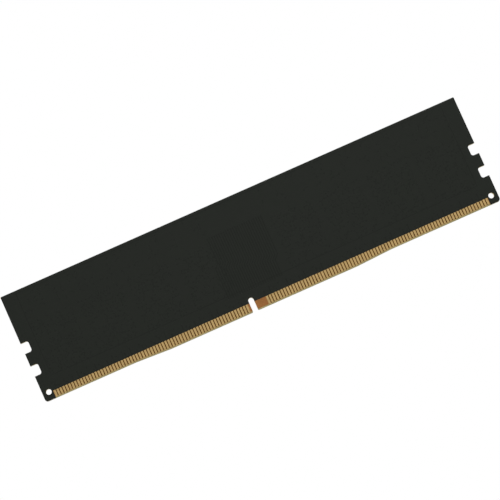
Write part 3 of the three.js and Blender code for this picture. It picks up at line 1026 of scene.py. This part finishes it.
class TracksOperator(Operator):
    """Builds the tracks and tented vias that show as low relief under the solder mask"""

    bl_idname = "memory_module.tracks"
    bl_label = "Tracks and vias"

    def execute(self, context):
        settings = context.scene.memory_module
        tracks, contacts = settings.tracks, settings.contacts
        scattered = scattered_vias()
        own_bundles = {
            FRONT: [(lane_paths(tracks, contacts), tracks.width, 0), (bus_paths(tracks), tracks.width, 0)],
            BACK: [(stub_paths(scattered), tracks.width, 4 * LAYER)],
        }
        own_vias = {FRONT: package_vias(settings.packages), BACK: scattered}
        for label, side in SIDES.items():
            leads, risers = lead_paths(contacts, side), riser_paths(tracks, side)
            bundles = [
                (leads, tracks.lead_width, 0), (risers, tracks.riser_width, 0),
                (border_paths(), tracks.lead_width, 0), *own_bundles[side],
            ]
            self.add_tracks(settings, label, side, bundles)
            places = np.concatenate([leads[:, -1], risers[:, -1], own_vias[side]])
            self.add_vias(settings, label, side, places)
        return {"FINISHED"}

    def add_tracks(self, settings, label, side, bundles):
        """The tracks of one face, from (paths, width, spread) bundles, each a layer lower than the last.

        The tops within a bundle are spread over its spread by steps of the golden ratio, so that tracks
        of the same bundle that cross don't coincide either.
        """
        sunk = bare_mask(settings.board) - SUNK
        surfaces = []
        for level, (paths, width, spread) in enumerate(bundles):
            tops = MASK_FACE_Y - level * LAYER - spread * (np.arange(len(paths)) * GOLDEN_RATIO % 1)
            surfaces.append(face_shells(tracks_along(paths * (-side, 1), width, sunk, tops), side))
        piece(f"tracks_{label}", "solder_mask", [], (merge(*surfaces), "satin_mask_over_tracks"))

    def add_vias(self, settings, label, side, places):
        """The tented vias of one face: low domes with a dimple in the middle."""
        top, sunk = MASK_FACE_Y, bare_mask(settings.board) - SUNK
        radius, shoulder, dimple = settings.tracks.via_radius, 0.004 * MM, 0.006 * MM
        levels = [
            (radius, sunk), (radius * 0.85, top - shoulder), (radius * 0.6, top),
            (radius * 0.25, top - dimple),
        ]
        vias = face_shells(rounds(places * (-side, 1), levels, points=8), side)
        piece(f"vias_{label}", "solder_mask", [], (vias, "satin_mask_over_tracks"))


# ---------------------------------------------------------------- parts on the front


def upper_left(centre, size, inset):
    """The place of a pin-one mark, drawn in by inset from a part's upper left corner."""
    return centre + (size / 2 - inset) * (-1, 1)


class PackagesOperator(Operator):
    """Builds the memory packages: moulded body, carrier, solder balls and pin-one mark"""

    bl_idname = "memory_module.packages"
    bl_label = "Memory packages"

    def execute(self, context):
        settings = context.scene.memory_module
        for number in CHIP_NUMBERS:
            self.add_package(settings.packages, bare_mask(settings.board), f"memory_chip_{number}")
        return {"FINISHED"}

    def add_package(self, packages, land, name):
        """One package. Its pin-one mark takes up the last of its CAD body's height."""
        centre, size, seam, highest = footprint(f"{name}_body")
        stand_off, mark_height = 0.3 * MM, 0.003 * MM
        bottom, top = MASK_FACE_Y + stand_off, highest - mark_height
        levels = [(0, seam), *rounded_edge(top, packages.edge_radius)]
        body = face_shells(slabs(centre, size, 0.08 * MM, levels, steps=3))
        piece(f"{name}_moulding", "mould_compound", [f"{name}_body"], (body, "package_mould"))
        self.add_carrier(name, centre, size, bottom, seam)
        balls = face_shells(self.ball_rings(packages, centre, land, bottom))
        piece(f"{name}_solder_balls", "solder", [], (balls, "soft_solder"))
        radius = packages.mark_radius
        levels = [(radius, top - SUNK), (radius, top + mark_height * 0.6), (radius * 0.85, highest)]
        dot = face_shells(rounds(upper_left(centre, size, 0.9 * MM), levels, points=24))
        piece(f"{name}_pin_one_mark", "mould_compound", [], (dot, "laser_mark"))

    def add_carrier(self, name, centre, size, bottom, seam):
        """The small circuit board under a body, with the moulded ridge that covers the die's wires."""
        groove = 0.02 * MM
        levels = [(groove, bottom), (0, bottom + groove), (0, seam - groove), (groove, seam)]
        base = face_shells(slabs(centre, size, 0.06 * MM, levels, steps=3))
        ridge_size = (1.2 * MM, 8.8 * MM)
        levels = [(0.1 * MM, bottom - 0.14 * MM), (0, bottom - 0.08 * MM), (0, bottom + 0.05 * MM)]
        ridge = face_shells(slabs(centre, ridge_size, 0.2 * MM, levels))
        piece(
            f"{name}_substrate", "package_carrier", [f"{name}_carrier"],
            (base, "carrier_laminate"), (ridge, "package_mould"),
        )

    def ball_rings(self, packages, centre, foot, top):
        """Solder balls, each a circle whose radius follows a sphere cut off flat at its two lands."""
        places = grid(ball_columns(packages), row_about(packages.ball_rows, packages.ball_pitch)) + centre
        out = np.linspace(foot, top, 5)
        radius = np.sqrt(packages.ball_radius**2 - (out - (foot + top) / 2) ** 2)
        return rounds(places, np.stack([radius, out], -1))


class ArraysOperator(Operator):
    """Builds the resistor arrays: ceramic body with its glaze, and tinned terminals in their solder"""

    bl_idname = "memory_module.arrays"
    bl_label = "Resistor arrays"

    def execute(self, context):
        settings = context.scene.memory_module
        for name in [*ARRAY_NAMES, *TERMINATION_NAMES]:
            self.add_array(settings.small_parts, bare_mask(settings.board), name)
        return {"FINISHED"}

    def add_array(self, parts, land, name):
        """Four resistors in one body, which stands upright or lies along the board as its CAD box does."""
        centre, size, _, top = footprint(name)
        short, long = sorted(size)
        standing = size[1] > size[0]
        soft, scallop, margin = 0.03 * MM, 0.1 * MM, 0.1 * MM
        resistors = 4

        def turned(pairs):
            pairs = np.asarray(pairs, float)
            return pairs[..., ::-1] if standing else pairs

        def terminals(reach, depth, radius, levels):
            places = grid(row_about(resistors, long / resistors), np.array([-1, 1]) * reach)
            terminal_size = turned((parts.array_terminal, depth))
            return face_shells(slabs(centre + turned(places), terminal_size, radius, levels))

        body = slabs(centre, turned((long, short - 2 * scallop)), 0.05 * MM, [
            (soft, land + soft), (0, land + 2 * soft), (0, top - 2 * soft), (soft, top - soft),
        ])
        glaze = slabs(centre, turned((long - margin, short - 4 * scallop)), 0.12 * MM, [
            (0, top - 2 * soft), (0, top - soft), (soft, top - soft * 0.3), (3 * soft, top),
        ])
        piece(
            f"{name}_body", "resistor_body", [name],
            (face_shells(body), "resistor_ceramic"), (face_shells(glaze), "resistor_glaze"),
        )
        ends = terminals(short / 2 - scallop * 1.1, scallop * 2.4, 0.05 * MM, [
            (0, land), (0, top - 2 * soft), (soft * 0.6, top - soft), (2 * soft, top - 0.6 * soft),
        ])
        feet = terminals(short / 2, scallop * 1.6, 0.06 * MM, [
            (-parts.fillet * 0.6, land - SOLDER_SUNK), (-parts.fillet * 0.55, land + 0.01 * MM),
            (-parts.fillet * 0.2, land + 0.08 * MM), (0.01 * MM, land + 0.2 * MM),
        ])
        piece(f"{name}_terminals", "solder", [], (merge(ends, feet), "soft_solder"))


def two_ended(centres, size, end, fillet, upright, land):
    """Small two-ended parts of one (length, width, height): bodies, metal ends and solder, as rings.

    The metal ends stand a little out of the bodies. The solder is the ends' outline flared at its foot.
    """
    length, width, height = size
    centres = np.atleast_2d(centres)
    along = np.array([0, 1]) if upright else np.array([1, 0])

    def sized(a, b):
        return (b, a) if upright else (a, b)

    def at_both_ends(reach):
        return np.concatenate([centres - along * reach, centres + along * reach])

    lift, soft, swell = 0.02 * MM, 0.03 * MM, 0.012 * MM
    top, end_top = land + height, land + height + swell
    bodies = slabs(centres, sized(length - 2 * lift, width), 0.04 * MM, [
        (soft, land + lift), (0, land + 2 * lift), (0, top - soft), (soft, top),
    ])
    ends = slabs(at_both_ends((length - end) / 2), sized(end, width + 2 * swell), 0.06 * MM, [
        (0, land), (0, end_top - 2 * soft), (soft * 0.6, end_top - soft * 0.6), (2 * soft, end_top),
    ])
    solder = slabs(at_both_ends(length / 2 - end * 0.25), sized(end * 0.8, width), 0.08 * MM, [
        (-fillet, land - SOLDER_SUNK), (-fillet * 0.95, land + 0.01 * MM),
        (-fillet * 0.45, land + height * 0.16), (-fillet * 0.15, land + height * 0.38),
        (0.01 * MM, land + height * 0.6),
    ])
    return bodies, ends, solder


def decoupling_places():
    """The small capacitors: round each package, at the left end, in the middle and along the top.

    They come as (upright, centres) pairs.
    """
    gaps = (CHIP_CENTRES[1:, 0] + CHIP_CENTRES[:-1, 0]) / 2
    gaps = gaps[np.abs(gaps) > 5 * MM]
    beside = grid(gaps, np.array([12.6, 16.8, 21.0]) * MM)
    above = at_each_chip(np.array([(-2.3, 7.2), (2.3, 7.2)]) * MM)
    below = at_each_chip(np.array([(-2.6, -6.9), (2.6, -6.9)]) * MM)
    left = grid(-62.4, [19.6, 22.6, 25.6]) * MM
    middle = np.array([(-7.6, 12.6), (-7.6, 16.8), (-7.6, 21.0), (7.6, 12.6), (7.6, 21.0), (2.7, 17.2)]) * MM
    top = grid(gaps, 30.1 * MM)
    lying = np.array([(-1.3, 13.6), (1.3, 13.6), (0, 21.4)]) * MM
    return [
        (True, np.concatenate([beside, left, middle])),
        (False, np.concatenate([above, below, top, lying])),
    ]


class CapacitorsOperator(Operator):
    """Builds the bulk capacitors, the small decoupling capacitors and the calibration resistors"""

    bl_idname = "memory_module.capacitors"
    bl_label = "Capacitors and single resistors"

    def execute(self, context):
        settings = context.scene.memory_module
        parts, land = settings.small_parts, bare_mask(settings.board)
        bulk_end, swell_room, resistor_height = 0.45 * MM, 0.015 * MM, 0.35 * MM
        for name in BULK_NAMES:
            centre, (length, width), _, top = footprint(name)
            size = (length, width - 2 * swell_room, top - land - swell_room)
            rings = two_ended(centre, size, bulk_end, parts.fillet * 1.5, False, land)
            self.add_parts(name, [name], "capacitor_ceramic", "fired_ceramic", [rings])
        length, width = parts.capacitor_length, parts.capacitor_width
        size = (length, width, parts.capacitor_height)
        sets = [
            two_ended(centres, size, parts.end_length, parts.fillet, upright, land)
            for upright, centres in decoupling_places()
        ]
        self.add_parts("decoupling_capacitors", [], "capacitor_ceramic", "fired_ceramic", sets)
        middle = np.array([(-2.7, 16.4), (-2.7, 18.2)]) * MM
        places = np.concatenate([at_each_chip(np.array([(4.4, 3.2)]) * MM), middle])
        size = (length, width, resistor_height)
        sets = [two_ended(places, size, parts.end_length, parts.fillet, True, land)]
        self.add_parts("calibration_resistors", [], "resistor_body", "resistor_glaze", sets)
        return {"FINISHED"}

    def add_parts(self, name, replaced, slot, finish, sets):
        """Two pieces from sets of two-ended parts: all their bodies, and all their ends with the solder."""
        bodies = [face_shells(body) for body, _, _ in sets]
        metal = [face_shells(rings) for _, *both in sets for rings in both]
        piece(f"{name}_body", slot, replaced, (merge(*bodies), finish))
        piece(f"{name}_ends", "solder", [], (merge(*metal), "soft_solder"))


class IdentityChipOperator(Operator):
    """Builds the small memory that identifies the module, with its eight soldered lands"""

    bl_idname = "memory_module.identity_chip"
    bl_label = "Identity memory"

    def execute(self, context):
        land = bare_mask(context.scene.memory_module.board)
        centre, size, _, top = footprint("spd_eeprom")
        waist, soft = 0.06 * MM, 0.04 * MM
        levels = [(0, land + 0.04 * MM), (0, land + 0.22 * MM), (waist / 2, land + 0.24 * MM)]
        levels += rounded_edge(top, soft, waist, cut=0.4)
        body = face_shells(slabs(centre, size, 0.08 * MM, levels, steps=3))
        radius, rim, mark_height = 0.16 * MM, 0.12 * MM, 0.003 * MM
        levels = [(radius, top - SUNK), (radius, top + 0.002 * MM), (rim, top + mark_height)]
        dot = face_shells(rounds(upper_left(centre, size, 0.42 * MM), levels, points=16))
        piece(
            "spd_eeprom_body", "mould_compound", ["spd_eeprom"],
            (body, "package_mould"), (dot, "laser_mark"),
        )
        places = centre + grid(row_about(4, 0.5 * MM), np.array([-1, 1]) * size[1] / 2)
        feet = slabs(places, (0.27 * MM, 0.5 * MM), 0.06 * MM, [
            (-0.03 * MM, land - SOLDER_SUNK), (-0.02 * MM, land + 0.015 * MM),
            (0.03 * MM, land + 0.09 * MM), (0.09 * MM, land + 0.16 * MM),
        ])
        piece("spd_eeprom_leads", "solder", [], (face_shells(feet), "soft_solder"))
        return {"FINISHED"}


# ---------------------------------------------------------------- marks on the front


class FiducialsOperator(Operator):
    """Builds the two round targets that the assembly machine finds the board by"""

    bl_idname = "memory_module.fiducials"
    bl_label = "Fiducials"

    def execute(self, context):
        base = bare_mask(context.scene.memory_module.board)
        places = np.array([(-61.15, 8.6), (61.15, 8.6)]) * MM
        clearing, target = 0.85 * MM, 0.5 * MM
        ring = rounds(places, [(clearing, base - SUNK), (clearing, base + 0.002 * MM)], points=24)
        levels = [(target, base - SUNK), (target, base + 0.008 * MM), (target * 0.96, base + 0.012 * MM)]
        disc = rounds(places, levels, points=24)
        piece(
            "fiducials", "solder", [],
            (face_shells(ring), "laminate_face"), (face_shells(disc), "soft_solder"),
        )
        return {"FINISHED"}


def corner_marks(centre, size, gap, arm):
    """Four right-angled corner marks round a part, as (4, 3, 2) paths."""
    sign = np.array([(1, 1), (-1, 1), (-1, -1), (1, -1)])
    corner = centre + sign * (size / 2 + gap)
    return np.stack([corner - sign * (arm, 0), corner, corner - sign * (0, arm)], 1)


class LegendOperator(Operator):
    """Prints the white legend: corner marks round the parts and pin-one dots, with no lettering"""

    bl_idname = "memory_module.legend"
    bl_label = "Legend"

    def execute(self, context):
        ink, line, dot_radius = 0.004 * MM, 0.13 * MM, 0.2 * MM
        sunk, top = bare_mask(context.scene.memory_module.board) - ink, MASK_FACE_Y + ink
        chips = [f"memory_chip_{n}_body" for n in CHIP_NUMBERS]
        small = [*ARRAY_NAMES, *TERMINATION_NAMES, *BULK_NAMES, "spd_eeprom"]
        surfaces = []
        for names, gap, arm, width in (
            (chips, 0.35 * MM, 1.1 * MM, line), (small, 0.32 * MM, 0.28 * MM, line * 0.8),
        ):
            for name in names:
                centre, size, _, _ = footprint(name)
                marks = corner_marks(centre, size, gap, arm)
                surfaces.append(face_shells(tracks_along(marks, width, sunk, top)))
        outside = np.array([0.75, 0.6]) * MM
        dots = [upper_left(*footprint(name)[:2], 0) - outside for name in chips]
        surfaces.append(face_shells(rounds(dots, [(dot_radius, sunk), (dot_radius, top)], points=16)))
        piece("legend_front", "legend_ink", [], (merge(*surfaces), "printed_ink"))
        return {"FINISHED"}


# ---------------------------------------------------------------- studio


# name: (azimuth and elevation in degrees, size in metres, strength)
SOFTBOXES = {
    "softbox_back_left": (217, 35, 0.7, 0.9),
    "softbox_back_right": (140, 30, 0.7, 0.7),
    "softbox_front_left": (-40, 38, 0.7, 1.0),
    "softbox_front_right": (45, 25, 0.7, 0.6),
    "softbox_top": (90, 80, 1.5, 1.6),
    "softbox_low": (175, -35, 0.7, 0.5),
    "key_back": (184, 13, 0.3, 0.165),
    "key_front": (-7, 16, 0.3, 0.5),
}


def away_from_module(azimuth, elevation):
    """The unit vector away from the module: azimuth turns from its front, elevation rises from level."""
    level = math.cos(elevation)
    return Vector((math.sin(azimuth) * level, -math.cos(azimuth) * level, math.sin(elevation)))


class StageOperator(Operator):
    """Builds the pale floor, the soft lights, the white surround and the camera"""

    bl_idname = "memory_module.stage"
    bl_label = "Studio"

    def execute(self, context):
        settings = context.scene.memory_module
        stage = settings.stage
        scene = context.scene
        scene.view_settings.view_transform = "Standard"
        self.add_floor(stage, settings.finish)
        self.add_surround(scene, stage)
        for name, (azimuth, elevation, size, strength) in SOFTBOXES.items():
            away = away_from_module(math.radians(azimuth), math.radians(elevation))
            self.add_softbox(stage, name, away, size, strength)
        self.add_camera(scene, stage)
        return {"FINISHED"}

    def add_floor(self, stage, finish):
        """A square floor at the level of the contact edge."""
        half = stage.floor_size / 2
        corners = np.array([(-half, -half, 0), (half, -half, 0), (half, half, 0), (-half, half, 0)])
        mesh = bpy.data.meshes.new("floor")
        mesh.from_pydata(corners.tolist(), [], [(0, 1, 2, 3)])
        floor_material("studio_floor", finish.floor)
        mesh.materials.append(bpy.data.materials["studio_floor"])
        floor = bpy.data.objects.new("floor", mesh)
        bpy.context.scene.collection.objects.link(floor)

    def add_surround(self, scene, stage):
        """White to the camera, and a dimmer grey to everything that reflects or is lit by it."""
        world = bpy.data.worlds.new("studio")
        world.use_nodes = True
        scene.world = world
        tree = world.node_tree
        tree.nodes.clear()
        seen = node(tree, "ShaderNodeLightPath").outputs["Is Camera Ray"]
        white = node(tree, "ShaderNodeBackground", {"Color": (1, 1, 1, 1), "Strength": 1.0})
        grey = node(tree, "ShaderNodeBackground", {"Color": (1, 0.99, 0.97, 1), "Strength": stage.surround})
        mixed = node(tree, "ShaderNodeMixShader", {0: seen, 1: grey.outputs[0], 2: white.outputs[0]})
        node(tree, "ShaderNodeOutputWorld", {"Surface": mixed.outputs[0]})

    def add_softbox(self, stage, name, away, size, strength):
        """A square light that faces the middle of the board."""
        light = bpy.data.lights.new(name, "AREA")
        light.energy = stage.softbox_power * strength
        light.size = size
        lamp = bpy.data.objects.new(name, light)
        lamp.location = Vector((0, 0, BOARD_HIGH.z / 2)) + away * stage.softbox_distance
        lamp.rotation_euler = away.to_track_quat("Z", "Y").to_euler()
        bpy.context.scene.collection.objects.link(lamp)

    def add_camera(self, scene, stage):
        """The camera, upright towards its aim point and then rolled about its own axis."""
        away = away_from_module(stage.azimuth, stage.elevation)
        aim = Vector((stage.aim_x, MASK_FACE_Y, stage.aim_z))
        data = bpy.data.cameras.new("camera")
        data.lens = stage.lens
        data.clip_start = 0.01
        data.clip_end = 50
        camera = bpy.data.objects.new("camera", data)
        camera.rotation_mode = "QUATERNION"
        upright = (-away).to_track_quat("-Z", "Y")
        camera.rotation_quaternion = upright @ Quaternion((0, 0, 1), stage.roll)
        camera.location = aim + away * stage.camera_distance
        scene.collection.objects.link(camera)
        scene.camera = camera


OPERATORS = [
    MaterialsOperator, BoardOperator, ContactsOperator, TracksOperator, PackagesOperator, ArraysOperator,
    CapacitorsOperator, IdentityChipOperator, FiducialsOperator, LegendOperator, StageOperator,
]
SETTINGS = [
    BoardSettings, ContactSettings, TrackSettings, PackageSettings, SmallPartSettings, FinishSettings,
    StageSettings, ModuleSettings,
]


class MemoryModulePanel(Panel):
    """Lists the steps that build the module"""

    bl_idname = "VIEW3D_PT_memory_module"
    bl_label = "Memory module"
    bl_space_type = "VIEW_3D"
    bl_region_type = "UI"
    bl_category = "Memory module"

    def draw(self, context):
        for operator in OPERATORS:
            self.layout.operator(operator.bl_idname)


def register():
    for made in [*SETTINGS, *OPERATORS, MemoryModulePanel]:
        bpy.utils.register_class(made)
    bpy.types.Scene.memory_module = PointerProperty(type=ModuleSettings)


def unregister():
    del bpy.types.Scene.memory_module
    for made in reversed([*SETTINGS, *OPERATORS, MemoryModulePanel]):
        bpy.utils.unregister_class(made)


def main():
    """Builds everything."""
    register()
    for operator in OPERATORS:
        group, name = operator.bl_idname.split(".")
        getattr(getattr(bpy.ops, group), name)()


if __name__ == "__main__":
    main()
